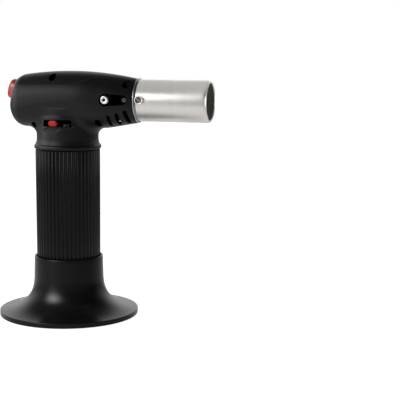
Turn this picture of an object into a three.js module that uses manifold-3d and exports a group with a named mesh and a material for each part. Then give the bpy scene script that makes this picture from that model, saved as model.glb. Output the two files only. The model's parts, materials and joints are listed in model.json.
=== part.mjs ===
// A table-top butane torch on a flared stand: ribbed tank handle, two-shell head, steel nozzle.
// Millimetres, +Z up, +X along the nozzle. Every piece is placed in the torch's own frame, whose
// origin is on the handle's axis at floor level, and one group then moves that frame so that the
// part's origin is the bottom centre of its bounding box.
import * as THREE from 'three';
import { mergeVertices } from 'three/addons/utils/BufferGeometryUtils.js';
import { LoftGeometry } from 'three/addons/geometries/LoftGeometry.js';
import Module from 'manifold-3d';

const wasm = await Module();
wasm.setup();

// Driving dimensions.
const GAP = 0.3;
const RIM_R = 54.3;
const COLLAR_TOP_Z = 46.8;
const COLLAR_BORE_R = 25.35;
const SEAT_Z = 23.7;
const GRIP_TOP_R = 25.08;
const GRIP_BOTTOM_R = 24.75;
const GRIP_TOP_Z = 130.7;
const GRIP_RIBS = 48;
const RIB_DEPTH = 0.7;
const TANK_R = 22.3;
const TANK_WALL = 1.7;
const TANK_BOTTOM_Z = SEAT_Z + GAP;
const TANK_TOP_Z = 129;
const HEAD_BOTTOM_Z = GRIP_TOP_Z + GAP;
const NECK_R = 23.9;
const NECK_BORE_R = 21.5;
const HEAD_REAR_X = -44.2;
const HEAD_FRONT_X = 57.5;
const HEAD_FRONT_R = 17.35;
const HEAD_HALF_WIDTH = 24.2;
const HEAD_TOP_Z = 190.9;
const HEAD_FLOOR_Z = 147.6;
const WALL = 2.4;
const INNER_BITE = 0.4; // how far inner webs run into the wall they join
const NOZZLE_Z = 169.2;
const NOZZLE_R = 15.96;
const NOZZLE_WALL = 0.9;
const NOZZLE_START_X = 59.9;
const NOZZLE_TIP_X = 114.6;
const NOZZLE_SCREW_X = 62.9;
const NOZZLE_SCREW_Z = 170.3;
const NOZZLE_SCREW = {
  headR: 3.3,
  recessR: 2.35,
  faceY: -18.2,
  seatY: -16.25,
  barTurn: THREE.MathUtils.degToRad(40),
};
const CENTRE_SHIFT_X = (NOZZLE_TIP_X - RIM_R) / 2;

// The trigger slides along its own tilted axis, which starts on the sloping rear face.
const TRIGGER_X = -41.5;
const TRIGGER_Z = 177.2;
const TRIGGER_TILT = THREE.MathUtils.degToRad(16);
const TRIGGER_FACE_R = 40;

// Places of the repeated features on the head: x and z of each, all cut along Y.
const SCREW_PLACES = [
  { x: -5.6, z: 186.2, wellR: 2.8, bossR: 4.4 },
  { x: 52.2, z: 181.6, wellR: 2.8, bossR: 4.2 },
  { x: -21.8, z: 149.6, wellR: 2.4, bossR: 3.9 },
  { x: 30.8, z: 152.2, wellR: 2.8, bossR: 4.4 },
];
const SCREW_SEAT_Y = -8;
const VENTS = [
  { x: 39.3, z: 154.0, width: 2.5, length: 8.6, lean: 0 },
  { x: 45.8, z: 155.4, width: 2.8, length: 9.4, lean: 3 },
  { x: 52.6, z: 157.0, width: 3.2, length: 10.6, lean: 8 },
];
const LOCK_SLOT = { left: 33.3, right: 54.1, z: 170, leftR: 4.7, rightR: 3.6 };
const LOCK_KNOB_X = 37.1;
const LOCK_PEG = { x: LOCK_SLOT.right - 2.2, radius: 1.7 };
const LOCK_PLATE = { nearY: -15.2, farY: -14, bottom: 164.7, top: 175.3, back: 25, front: 40.6 };
const FLAME_SLOT = { left: -11.2, right: 11.5, z: 151.7, height: 5.2 };
const FLAME_LEVER_TURN = THREE.MathUtils.degToRad(-6.6);
const FLAME_TIP = { length: 7.6, height: 4.4 };
const ELECTRODE_R = 12.9;
const ELECTRODE_ANGLE = THREE.MathUtils.degToRad(-46);
const ELECTRODE_Y = ELECTRODE_R * Math.cos(ELECTRODE_ANGLE);
const ELECTRODE_Z = NOZZLE_Z + ELECTRODE_R * Math.sin(ELECTRODE_ANGLE);
const HUB_NECK_R = 7.8;
const BULKHEAD = { back: 50.5, front: 53, boreR: HUB_NECK_R + GAP };
const LEVER_PIVOT = { x: 13, z: 156.5 };

// Finishes.
const finish = (color, roughness, metalness = 0) =>
  new THREE.MeshStandardMaterial({ color, roughness, metalness });
const softBlack = finish(0x232325, 0.55);
const glossBlack = finish(0x111113, 0.3);
const ribBlack = finish(0x1a1a1b, 0.5);
const rubberBlack = finish(0x151515, 0.85);
const blackenedSteel = finish(0x1e1d1c, 0.4, 1);
const redPlastic = finish(0xc81e14, 0.35);
const whitePlastic = finish(0xd8d6cf, 0.45);
const ceramicWhite = finish(0xe8e4da, 0.35);
const steel = finish(0xc3c0ba, 0.3, 1);
const nickel = finish(0xd9d8d4, 0.18, 1);
const brass = finish(0xb08d4a, 0.35, 1);
const aluminium = finish(0xa9abad, 0.4, 1);
const tankGrey = finish(0x3a3b3d, 0.35);

// ---- Solids -------------------------------------------------------------------------------

function toSolid(geometry) {
  const bare = new THREE.BufferGeometry().copy(geometry);
  bare.deleteAttribute('normal');
  bare.deleteAttribute('uv');
  const merged = mergeVertices(bare, 1e-4);
  const index = merged.index.array;
  const triangles = [];
  for (let i = 0; i < index.length; i += 3) {
    const [a, b, c] = [index[i], index[i + 1], index[i + 2]];
    if (a !== b && b !== c && c !== a) {
      triangles.push(a, b, c);
    }
  }
  return new wasm.Manifold(new wasm.Mesh({
    numProp: 3,
    vertProperties: new Float32Array(merged.attributes.position.array),
    triVerts: new Uint32Array(triangles),
  }));
}

function toGeometry(solid) {
  const mesh = solid.getMesh();
  const geometry = new THREE.BufferGeometry();
  geometry.setAttribute('position', new THREE.BufferAttribute(mesh.vertProperties, 3));
  geometry.setIndex(new THREE.BufferAttribute(mesh.triVerts, 1));
  geometry.computeVertexNormals();
  return geometry;
}

const join = (...geometries) => geometries.map(toSolid).reduce((a, b) => a.add(b));
const cut = (solid, ...geometries) => geometries.map(toSolid).reduce((a, b) => a.subtract(b), solid);

function box(x0, x1, y0, y1, z0, z1) {
  const geometry = new THREE.BoxGeometry(x1 - x0, y1 - y0, z1 - z0);
  return geometry.translate((x0 + x1) / 2, (y0 + y1) / 2, (z0 + z1) / 2);
}

const points = (pairs) => pairs.map(([r, h]) => new THREE.Vector2(r, h));

// A closed [radius, height] outline, counter-clockwise, turned about +Z.
function latheZ(pairs, segments = 24) {
  const outline = points(pairs);
  if (outline[0].x > 0) {
    outline.push(outline[0].clone());
  }
  return new THREE.LatheGeometry(outline, segments).rotateX(Math.PI / 2);
}

// The same outline turned about the line y = 0, z = height of the given axis, with heights along +X.
function latheX(pairs, segments = 24, z = NOZZLE_Z) {
  const outline = points(pairs);
  if (outline[0].x > 0) {
    outline.push(outline[0].clone());
  }
  return new THREE.LatheGeometry(outline, segments).rotateZ(-Math.PI / 2).translate(0, 0, z);
}

const tubeOutline = (outer, inner, from, to) => [[inner, from], [outer, from], [outer, to], [inner, to]];
const rodOutline = (radius, from, to) => [[0, from], [radius, from], [radius, to], [0, to]];

// A cylinder along Y between two y values.
function rodY(radius, x, z, y0, y1, segments = 20) {
  const geometry = new THREE.CylinderGeometry(radius, radius, y1 - y0, segments);
  return geometry.translate(x, (y0 + y1) / 2, z);
}

function ringZ(radius, wire, z) {
  return new THREE.TorusGeometry(radius, wire, 6, 24).translate(0, 0, z);
}

// A slot outline of the given length whose round ends may differ in radius, in its own plane.
function taperedSlot(length, leftR, rightR, arcSteps = 4) {
  const lean = Math.asin((leftR - rightR) / (length - leftR - rightR));
  const quarter = Math.PI / 2 - lean;
  const shape = new THREE.Shape();
  shape.absarc(length / 2 - rightR, 0, rightR, -quarter, quarter, false);
  shape.absarc(leftR - length / 2, 0, leftR, quarter, 2 * Math.PI - quarter, false);
  return new THREE.Shape(shape.getPoints(arcSteps));
}

function stadium(length, height, arcSteps = 4) {
  return taperedSlot(length, height / 2, height / 2, arcSteps);
}

// A flat outline in x and z, cut along Y from y0 to y1, leaning by an angle about Y.
function prismY(shape, x, z, y0, y1, lean = 0) {
  const geometry = new THREE.ExtrudeGeometry(shape, { depth: y1 - y0, bevelEnabled: false });
  return geometry.rotateX(Math.PI / 2).rotateY(lean).translate(x, y1, z);
}

// A circle of an even number of sides.
function circleShape(radius, sides) {
  const shape = new THREE.Shape();
  shape.absarc(0, 0, radius, 0, 2 * Math.PI, false);
  return new THREE.Shape(shape.getPoints(sides / 2).slice(0, -1));
}

// A round tube along a smooth line through the given places.
function tubeAlong(places, radius, steps, sides = 8) {
  const path = new THREE.CatmullRomCurve3(places.map((p) => new THREE.Vector3(...p)));
  return new THREE.ExtrudeGeometry(circleShape(radius, sides), {
    steps,
    extrudePath: path,
    bevelEnabled: false,
  });
}

class Helix extends THREE.Curve {
  constructor(radius, turns, bottom, top) {
    super();
    Object.assign(this, { radius, turns, bottom, top });
  }

  getPoint(t, target = new THREE.Vector3()) {
    const angle = 2 * Math.PI * this.turns * t;
    const z = this.bottom + (this.top - this.bottom) * t;
    return target.set(this.radius * Math.cos(angle), this.radius * Math.sin(angle), z);
  }
}

function coilSpring(radius, wire, turns, bottom, top) {
  return new THREE.ExtrudeGeometry(circleShape(wire, 4), {
    steps: Math.round(turns * 10),
    extrudePath: new Helix(radius, turns, bottom + wire, top - wire),
    bevelEnabled: false,
  });
}

const alongTrigger = (geometry) => geometry.rotateY(TRIGGER_TILT).translate(TRIGGER_X, 0, TRIGGER_Z);

// ---- The head's outer form ----------------------------------------------------------------

const TOP_CREST_X = 5;
const TOP_ARC_R = 256;
const NOSE_RISE_X = 34;
const REAR_ROUND = 13;

function headTop(x) {
  return HEAD_TOP_Z - (x - TOP_CREST_X) ** 2 / (2 * TOP_ARC_R);
}

// The underside is level over the neck and rises in a straight line to the nozzle.
function headFloor(x) {
  const frontFloor = NOZZLE_Z - HEAD_FRONT_R;
  const rise = Math.max(0, (x - NOSE_RISE_X) / (HEAD_FRONT_X - NOSE_RISE_X));
  return HEAD_FLOOR_Z + (frontFloor - HEAD_FLOOR_Z) * rise;
}

// The plan narrows to the nozzle as a power curve and slightly towards the rear.
function headHalfWidth(x) {
  if (x < TOP_CREST_X) {
    return HEAD_HALF_WIDTH - 1.6 * ((TOP_CREST_X - x) / 45) ** 2;
  }
  const share = (x - TOP_CREST_X) / (HEAD_FRONT_X - TOP_CREST_X);
  return HEAD_HALF_WIDTH - (HEAD_HALF_WIDTH - HEAD_FRONT_R) * share ** 2.2;
}

// The rear end closes as a dome: 1 ahead of it, 0 at its pole.
function rearShrink(x, rearX) {
  const depth = Math.max(0, (rearX + REAR_ROUND - x) / REAR_ROUND);
  return (1 - depth ** 2.2) ** (1 / 2.2);
}

function headSection(x, inset, sides) {
  const shrink = rearShrink(x, HEAD_REAR_X + inset);
  const middle = (headTop(x) + headFloor(x)) / 2;
  const halfHeight = ((headTop(x) - headFloor(x)) / 2 - inset) * shrink;
  const halfWidth = (headHalfWidth(x) - inset) * shrink;
  const front = THREE.MathUtils.smoothstep(x, 20, HEAD_FRONT_X);
  const power = 2 / (2.35 - 0.35 * front);
  const section = [];
  for (let i = 0; i < sides; i += 1) {
    const angle = (2 * Math.PI * i) / sides;
    const c = Math.cos(angle);
    const s = Math.sin(angle);
    section.push(new THREE.Vector3(
      x,
      halfWidth * Math.sign(c) * Math.abs(c) ** power,
      middle + halfHeight * Math.sign(s) * Math.abs(s) ** power,
    ));
  }
  return section;
}

// Stations crowd together over the rear dome and run evenly from there to the front.
function headLoft(inset, frontX, sides, domeSteps, bodySteps) {
  const rear = HEAD_REAR_X + inset;
  const stations = [];
  for (let i = 1; i <= domeSteps; i += 1) {
    stations.push(rear + REAR_ROUND * (1 - Math.cos((Math.PI / 2) * (i / domeSteps))));
  }
  for (let i = 1; i <= bodySteps; i += 1) {
    stations.push(rear + REAR_ROUND + (frontX - rear - REAR_ROUND) * (i / bodySteps));
  }
  const sections = stations.map((x) => headSection(x, inset, sides));
  return new LoftGeometry(sections, { closed: true, capStart: true, capEnd: true });
}

// Everything behind the sloping face that carries the trigger, moved forward by an inset. The face
// is part of a wide cylinder, so that it curves forward at both sides.
function behindTriggerFace(inset) {
  const block = toSolid(alongTrigger(box(-60, 14, -30, 30, -60, 60)));
  const face = new THREE.CylinderGeometry(TRIGGER_FACE_R - inset, TRIGGER_FACE_R - inset, 140, 96);
  face.rotateX(Math.PI / 2).translate(TRIGGER_FACE_R, 0, 0);
  return block.subtract(toSolid(alongTrigger(face)));
}

function neckOuter() {
  const fillet = new THREE.EllipseCurve(NECK_R + 7.6, 140.2, 7.6, 7.4, Math.PI, Math.PI / 2, true);
  const bead = new THREE.EllipseCurve(24.6, 133, 1.4, 2, -Math.PI / 2, Math.PI / 2, false);
  const outline = [
    [0, HEAD_BOTTOM_Z],
    ...bead.getPoints(5).map((p) => [p.x, p.y]),
    [24.7, 136.4],
    ...fillet.getPoints(6).map((p) => [p.x, p.y]),
    [NECK_R + 7.6, 150],
    [0, 150],
  ];
  const flare = toSolid(latheZ(outline, 32));
  // Above the neck the flare only runs fore and aft, under the head's rounded floor.
  const plan = new THREE.CylinderGeometry(1, 1, 12, 28).rotateX(Math.PI / 2);
  const underHead = flare.intersect(toSolid(plan.scale(33, 15, 1).translate(0, 0, 145)));
  const below = flare.intersect(toSolid(box(-60, 60, -60, 60, 120, 139.5)));
  return below.add(underHead).add(toSolid(latheZ(rodOutline(NECK_R, 138, 166), 32)));
}

function headSolids() {
  const outer = toSolid(headLoft(0, HEAD_FRONT_X, 30, 5, 9)).add(neckOuter());
  const inner = toSolid(headLoft(WALL, HEAD_FRONT_X + 1, 22, 3, 6));
  const neckBore = toSolid(latheZ(rodOutline(NECK_BORE_R, 120, 160), 24));
  return {
    outer: outer.subtract(behindTriggerFace(0)),
    hollow: inner.subtract(behindTriggerFace(WALL)).add(neckBore),
  };
}

// The outline of the trigger in its own plane, grown by a margin.
const BUTTON = { halfWidth: 7, halfHeight: 7.8, drop: -1.5 };

function buttonSection(s, grow, scale = 1) {
  const section = [];
  const sides = 24;
  for (let i = 0; i < sides; i += 1) {
    const angle = (2 * Math.PI * i) / sides;
    const c = Math.cos(angle);
    const t = Math.sin(angle);
    section.push(new THREE.Vector3(
      s,
      (BUTTON.halfWidth + grow) * scale * Math.sign(c) * Math.abs(c) ** (2 / 2.6),
      BUTTON.drop + (BUTTON.halfHeight + grow) * scale * Math.sign(t) * Math.abs(t) ** (2 / 2.6),
    ));
  }
  return section;
}

function buttonPrism(from, to, grow) {
  return new LoftGeometry(
    [buttonSection(from, grow), buttonSection(to, grow)],
    { closed: true, capStart: true, capEnd: true },
  );
}

// Posts that run across the head and carry the four shell screws.
function screwPosts(outer) {
  const posts = SCREW_PLACES.map((p) => toSolid(rodY(p.bossR, p.x, p.z, -30, 30)));
  return posts.reduce((a, b) => a.add(b)).intersect(outer);
}

// A channel with two rails, on which the lock's plate slides behind its slot, and a floor below them.
function lockGuide(fitted) {
  const web = 1.2;
  const floorY = -9.9;
  const railY = LOCK_PLATE.farY + GAP;
  const bottom = LOCK_PLATE.bottom - GAP;
  const top = LOCK_PLATE.top + GAP;
  const right = BULKHEAD.back + 0.5;
  const block = toSolid(box(LOCK_PLATE.back, right, -30, floorY + 1, bottom - web, top + web));
  const channel = box(LOCK_PLATE.back - 1, BULKHEAD.back, -31, floorY, bottom, top);
  const lowRail = box(LOCK_PLATE.back, right, railY, railY + 1, bottom - 0.5, bottom + web);
  const highRail = box(LOCK_PLATE.back, right, railY, railY + 1, top - web, top + 0.5);
  return cut(block, channel).add(join(lowRail, highRail)).intersect(fitted);
}

function headShells() {
  const { outer, hollow } = headSolids();
  // The trigger's opening, and behind it the pocket its retaining flange travels in.
  const cuts = [alongTrigger(buttonPrism(-10, 6, 0.4)), alongTrigger(buttonPrism(WALL, 12, 2.1))];
  for (const vent of VENTS) {
    const lean = THREE.MathUtils.degToRad(vent.lean);
    const outline = stadium(vent.length, vent.width, 2);
    cuts.push(prismY(outline, vent.x, vent.z, -26, -7, Math.PI / 2 - lean));
    cuts.push(prismY(outline, vent.x, vent.z, 7, 26, Math.PI / 2 - lean));
  }
  const lockSlot = taperedSlot(LOCK_SLOT.right - LOCK_SLOT.left, LOCK_SLOT.leftR, LOCK_SLOT.rightR);
  cuts.push(prismY(lockSlot, (LOCK_SLOT.left + LOCK_SLOT.right) / 2, LOCK_SLOT.z, -26, -10));
  const flameBottom = FLAME_SLOT.z - FLAME_SLOT.height / 2;
  const flameTop = FLAME_SLOT.z + FLAME_SLOT.height / 2;
  cuts.push(box(FLAME_SLOT.left, FLAME_SLOT.right, -28, -14, flameBottom, flameTop));
  let body = cut(outer.subtract(hollow), ...cuts);

  // Inside: a bulkhead round the nozzle hub, the rib that grips the tank cap and the screw posts.
  const { back, front, boreR } = BULKHEAD;
  const fitted = toSolid(headLoft(WALL - INNER_BITE, HEAD_FRONT_X, 22, 3, 6));
  const bulkhead = cut(
    toSolid(box(back, front, -30, 30, 140, 200)).intersect(fitted),
    latheX(rodOutline(boreR, 45, 60)),
    latheX(rodOutline(1.8, 45, 60), 12, ELECTRODE_Z).translate(0, ELECTRODE_Y, 0),
  );
  const stopPeg = rodY(LOCK_PEG.radius, LOCK_PEG.x, LOCK_SLOT.z, -18, -9.5, 12);
  const tankRib = latheZ(tubeOutline(NECK_BORE_R + 0.5, 19.3, 134.1, 135.9), 24);
  body = body.add(bulkhead).add(toSolid(stopPeg)).add(toSolid(tankRib)).add(lockGuide(fitted));
  body = body.add(screwPosts(outer));
  for (const place of SCREW_PLACES) {
    body = cut(
      body,
      rodY(place.wellR, place.x, place.z, -32, SCREW_SEAT_Y),
      rodY(1.4, place.x, place.z, SCREW_SEAT_Y - 1, 9.5, 12),
    );
  }

  // Cradles on the far side hold the igniter and the jet holder.
  const cradles = [12, 28].map((s) => toSolid(alongTrigger(box(s, s + 2, 1, 30, -8, 8))));
  cradles.push(toSolid(box(32.2, 34.6, 1, 30, 163, 175)));
  const cradle = cradles.reduce((a, b) => a.add(b)).intersect(fitted);
  const farExtras = cut(
    cradle,
    alongTrigger(latheX(rodOutline(5.7, 5, 40), 24, 0)),
    latheX(rodOutline(4.7, 30, 36)),
    ...SCREW_PLACES.map((p) => rodY(1.4, p.x, p.z, -10, 9.5, 12)),
  );
  const near = body.intersect(toSolid(box(-80, 80, -60, -GAP / 2, 100, 220)));
  const far = body.add(farExtras).intersect(toSolid(box(-80, 80, GAP / 2, 60, 100, 220)));
  return { near: toGeometry(near), far: toGeometry(far) };
}

// ---- Stand, handle and tank ---------------------------------------------------------------

// A moulded stand: thin flared skirt, collar bored for the handle and a seat ledge under the tank.
function standGeometry() {
  const flare = new THREE.CubicBezierCurve(
    new THREE.Vector2(53.5, 4.3),
    new THREE.Vector2(34, 7.5),
    new THREE.Vector2(27.9, 15),
    new THREE.Vector2(27.2, 30),
  );
  const underside = new THREE.CubicBezierCurve(
    new THREE.Vector2(25.3, 21.2),
    new THREE.Vector2(25.8, 13),
    new THREE.Vector2(32.5, 5.3),
    new THREE.Vector2(RIM_R - 3, 2.3),
  );
  const lip = new THREE.EllipseCurve(26.2, COLLAR_TOP_Z - 1.3, 0.6, 1.3, 0, Math.PI * 0.9, false);
  return latheZ([
    [RIM_R - 3, 0.4],
    [RIM_R - 0.3, 0.4],
    [RIM_R, 0.8],
    [RIM_R, 3.4],
    [RIM_R - 0.25, 4],
    ...flare.getPoints(6).map((p) => [p.x, p.y]),
    ...lip.getPoints(3).map((p) => [p.x, p.y]),
    [COLLAR_BORE_R, COLLAR_TOP_Z - 1],
    [COLLAR_BORE_R, SEAT_Z],
    [19, SEAT_Z],
    [19, 21.2],
    ...underside.getPoints(4).map((p) => [p.x, p.y]),
  ], 40);
}

// A sleeve with upright ribs, tapering a little towards the stand.
function gripGeometry() {
  const outline = new THREE.Shape();
  const pitch = (2 * Math.PI) / GRIP_RIBS;
  const at = (radius, angle) => outline.lineTo(radius * Math.cos(angle), radius * Math.sin(angle));
  outline.moveTo(GRIP_TOP_R, 0);
  for (let i = 0; i < GRIP_RIBS; i += 1) {
    if (i > 0) {
      at(GRIP_TOP_R, i * pitch);
    }
    at(GRIP_TOP_R, (i + 0.45) * pitch);
    at(GRIP_TOP_R - RIB_DEPTH, (i + 0.72) * pitch);
  }
  const bore = new THREE.Path();
  bore.absarc(0, 0, TANK_R + GAP, 0, 2 * Math.PI, true);
  outline.holes.push(new THREE.Path(bore.getPoints(18).slice(0, -1)));
  const height = GRIP_TOP_Z - TANK_BOTTOM_Z;
  const geometry = new THREE.ExtrudeGeometry(outline, { depth: height, bevelEnabled: false });
  const position = geometry.attributes.position;
  for (let i = 0; i < position.count; i += 1) {
    const radius = Math.hypot(position.getX(i), position.getY(i));
    const share = 1 - position.getZ(i) / height;
    const taper = radius > TANK_R + 1 ? 1 - (share * (GRIP_TOP_R - GRIP_BOTTOM_R)) / GRIP_TOP_R : 1;
    position.setXY(i, position.getX(i) * taper, position.getY(i) * taper);
  }
  return geometry.translate(0, 0, TANK_BOTTOM_Z);
}

function tankGeometry() {
  const inner = TANK_R - TANK_WALL;
  return latheZ([
    [5.3, TANK_BOTTOM_Z],
    [TANK_R, TANK_BOTTOM_Z],
    [TANK_R, TANK_TOP_Z],
    [inner, TANK_TOP_Z],
    [inner, TANK_BOTTOM_Z + 3],
    [5.3, TANK_BOTTOM_Z + 3],
  ], 36);
}

// The plug that closes the tank: seal groove, flange, waist gripped by the shells, seat for the valve.
function tankCapGeometry() {
  return latheZ([
    [7.3, 121],
    [20.2, 121],
    [20.2, 124.5],
    [18.6, 124.5],
    [18.6, 127],
    [20.2, 127],
    [20.2, TANK_TOP_Z + GAP],
    [TANK_R, TANK_TOP_Z + GAP],
    [TANK_R, GRIP_TOP_Z],
    [21.2, GRIP_TOP_Z],
    [21.2, 133.8],
    [19, 133.8],
    [19, 136.2],
    [21.2, 136.2],
    [21.2, 138],
    [9.7, 138],
    [9.7, 135.7],
    [7.3, 135.7],
  ], 24);
}

function refillBodyGeometry() {
  return latheZ([
    [1.9, 20.4],
    [7, 20.4],
    [7, SEAT_Z],
    [5, SEAT_Z],
    [5, 39],
    [1, 39],
    [1, 37],
    [3, 37],
    [3, 27],
    [1.9, 27],
  ], 20);
}

function refillStemGeometry() {
  return latheZ([
    [0, 19.6],
    [1.6, 19.6],
    [1.6, 27.3],
    [2.7, 27.3],
    [2.7, 28.8],
    [1.2, 28.8],
    [1.2, 31],
    [0, 31],
  ], 16);
}

// ---- Gas valve and its lever --------------------------------------------------------------

const PORT_Z = 144.3;
const PORT_END_X = 11;

function valveBodyGeometry() {
  const barrel = latheZ([
    [1, 119],
    [7, 119],
    [7, 138.2],
    [9, 138.2],
    [9, 141],
    [5.2, 141],
    [5.2, 156],
    [1.7, 156],
    [1.7, 155],
    [3.4, 155],
    [3.4, 143],
    [1, 143],
  ]);
  const port = latheX(rodOutline(1.7, 4.4, PORT_END_X), 12, PORT_Z);
  const portBore = latheX(rodOutline(0.8, 2, PORT_END_X + 1), 8, PORT_Z);
  return toGeometry(cut(join(barrel, port), portBore));
}

function valveStemGeometry() {
  return latheZ([
    [0, 145],
    [1.3, 145],
    [1.3, 148],
    [3.1, 148],
    [3.1, 150],
    [1.3, 150],
    [1.3, 159.7],
    [3, 159.7],
    [3, 161.2],
    [0, 161.2],
  ], 16);
}

const EAR = { nearY: -11, farY: 7, thick: 1.2, back: 10.5, front: 15.5, top: 159.5 };

// A sheet-metal bracket under the flame ring, with two ears that hold the lever's pin.
function bracketGeometry() {
  const plate = box(-8, EAR.front, EAR.nearY, EAR.farY, 147, 148.2);
  const nearEar = box(EAR.back, EAR.front, EAR.nearY, EAR.nearY + EAR.thick, 147, EAR.top);
  const farEar = box(EAR.back, EAR.front, EAR.farY - EAR.thick, EAR.farY, 147, EAR.top);
  return toGeometry(cut(
    join(plate, nearEar, farEar),
    latheZ(rodOutline(5.5, 146, 149)),
    rodY(1.3, LEVER_PIVOT.x, LEVER_PIVOT.z, -13, 9, 12),
  ));
}

// A bell crank: an arm the trigger's link pushes, a tube on the pin and a fork under the stem's head.
function valveLeverGeometry() {
  const { x, z } = LEVER_PIVOT;
  const lever = join(
    rodY(2.4, x, z, -9.5, 5.5, 16),
    box(10.6, 13.8, -8.6, -7, z, 171.5),
    box(8, x, -3.4, 3.4, 157.2, 158.8),
    box(-1.5, 8.5, -3.4, -1.8, 157.6, 159.2),
    box(-1.5, 8.5, 1.8, 3.4, 157.6, 159.2),
  );
  return toGeometry(cut(lever, rodY(1.3, x, z, -12, 8, 12)));
}

// The flame lever turns round the valve, and its red tip travels along the slot in the neck.
function flameLeverGeometry() {
  const tip = stadium(FLAME_TIP.length, FLAME_TIP.height, 3);
  const lever = join(
    latheZ(tubeOutline(8.4, 5.5, 150, 153.4)),
    box(-2.5, 2.5, -23, -7.6, 150.2, 153.2),
    prismY(tip, 0, FLAME_SLOT.z, -25.2, -22.2),
  );
  return toGeometry(cut(lever, latheZ(rodOutline(5.5, 149, 155)))).rotateZ(FLAME_LEVER_TURN);
}

// ---- Burner and nozzle --------------------------------------------------------------------

function nozzleTubeGeometry() {
  const inner = NOZZLE_R - NOZZLE_WALL;
  const tube = latheX([
    [inner, NOZZLE_START_X],
    [NOZZLE_R, NOZZLE_START_X],
    [NOZZLE_R, NOZZLE_TIP_X - 2.4],
    [NOZZLE_R - 0.25, NOZZLE_TIP_X - 1.1],
    [NOZZLE_R - 0.85, NOZZLE_TIP_X - 0.25],
    [NOZZLE_R - 1.55, NOZZLE_TIP_X],
    [NOZZLE_R - 1.8, NOZZLE_TIP_X - 0.3],
    [NOZZLE_R - 1.6, NOZZLE_TIP_X - 1],
    [inner, NOZZLE_TIP_X - 2.4],
  ], 40);
  return toGeometry(cut(toSolid(tube), rodY(1.7, NOZZLE_SCREW_X, NOZZLE_SCREW_Z, -20, 20, 12)));
}

// The hub that joins the head to the nozzle: a neck in the bulkhead and a disc inside the tube.
function hubGeometry() {
  const hub = latheX([
    [5.3, 46],
    [HUB_NECK_R, 46],
    [HUB_NECK_R, NOZZLE_START_X],
    [NOZZLE_R - NOZZLE_WALL - GAP, NOZZLE_START_X],
    [NOZZLE_R - NOZZLE_WALL - GAP, 67],
    [HUB_NECK_R, 67],
    [HUB_NECK_R, 68.7],
    [5.3, 68.7],
  ], 32);
  const leadNotch = latheX(rodOutline(1.9, 55, 75), 12, ELECTRODE_Z).translate(0, ELECTRODE_Y, 0);
  return toGeometry(cut(
    toSolid(hub),
    leadNotch,
    rodY(1.7, NOZZLE_SCREW_X, NOZZLE_SCREW_Z, -20, -8.6, 12),
    rodY(1.7, NOZZLE_SCREW_X, NOZZLE_SCREW_Z, 8.6, 20, 12),
  ));
}

function mixingTubeGeometry() {
  const tube = toSolid(latheX(tubeOutline(5, 3.6, 38.6, 72)));
  const airHoleX = 42.4;
  const across = rodY(1.4, airHoleX, NOZZLE_Z, -8, 8, 12);
  const upright = new THREE.CylinderGeometry(1.4, 1.4, 16, 12).rotateX(Math.PI / 2);
  return toGeometry(cut(tube, across, upright.translate(airHoleX, 0, NOZZLE_Z)));
}

// A cup round the end of the mixing tube, in which the flame stands.
function burnerTubeGeometry() {
  return latheX([
    [5.3, 69],
    [11, 69],
    [11, 104],
    [10.2, 104],
    [10.2, 70.2],
    [5.3, 70.2],
  ], 32);
}

// A drilled disc that the flame holds on to.
function flameHolderGeometry() {
  const disc = circleShape(9.9, 28);
  const holes = 8;
  for (let i = 0; i < holes; i += 1) {
    const angle = (2 * Math.PI * i) / holes;
    const hole = new THREE.Path();
    hole.absarc(6.6 * Math.cos(angle), 6.6 * Math.sin(angle), 1.5, 0, 2 * Math.PI, true);
    disc.holes.push(new THREE.Path(hole.getPoints(4).slice(0, -1)));
  }
  const centre = new THREE.Path();
  centre.absarc(0, 0, 2, 0, 2 * Math.PI, true);
  disc.holes.push(new THREE.Path(centre.getPoints(4).slice(0, -1)));
  const geometry = new THREE.ExtrudeGeometry(disc, { depth: 2, bevelEnabled: false });
  return geometry.rotateY(Math.PI / 2).translate(78, 0, NOZZLE_Z);
}

function electrodeGeometry() {
  const spoke = (x, radius) => [
    x,
    radius * Math.cos(ELECTRODE_ANGLE),
    NOZZLE_Z + radius * Math.sin(ELECTRODE_ANGLE),
  ];
  const straight = [47.5, 65, 82, 97, 102.5].map((x) => spoke(x, ELECTRODE_R));
  return tubeAlong([...straight, spoke(106.2, 11.6), spoke(107.4, 8.5)], 0.6, 40, 6);
}

function insulatorGeometry() {
  const tube = latheX(tubeOutline(1.5, 0.9, 50, 96.5), 12, ELECTRODE_Z);
  return tube.translate(0, ELECTRODE_Y, 0);
}

function jetHolderGeometry() {
  return latheX([
    [0, 29.3],
    [1.7, 29.3],
    [1.7, 31],
    [4.4, 31],
    [4.4, 36],
    [4.9, 36],
    [4.9, 38.3],
    [0, 38.3],
  ], 20);
}

function gasJetGeometry() {
  return latheX([
    [0, 38.6],
    [2, 38.6],
    [2, 40.5],
    [0.8, 42.4],
    [0, 42.4],
  ], 16);
}

function fuelHoseGeometry() {
  const places = [
    [PORT_END_X + GAP, 0, PORT_Z],
    [15, 0, 144.6],
    [18.2, 0, 148],
    [18.6, 0, 156],
    [19.8, 0, 163],
    [23.4, 0, 168],
    [29, 0, NOZZLE_Z],
  ];
  return tubeAlong(places, 1.6, 26);
}

// The lead runs from the igniter's contact, round the far side of the valve, to the electrode.
function ignitionLeadGeometry() {
  const places = [
    [-5.4, 0, 166.8],
    [-1.6, 1.6, 165.9],
    [4, 6.6, 164],
    [14, 10.4, 161.2],
    [26, 11, 159.8],
    [38, 9.8, 159.8],
    [47.2, ELECTRODE_Y, ELECTRODE_Z],
  ];
  return tubeAlong(places, 0.8, 36, 6);
}

// ---- Trigger and igniter, in the trigger's own frame --------------------------------------

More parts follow.
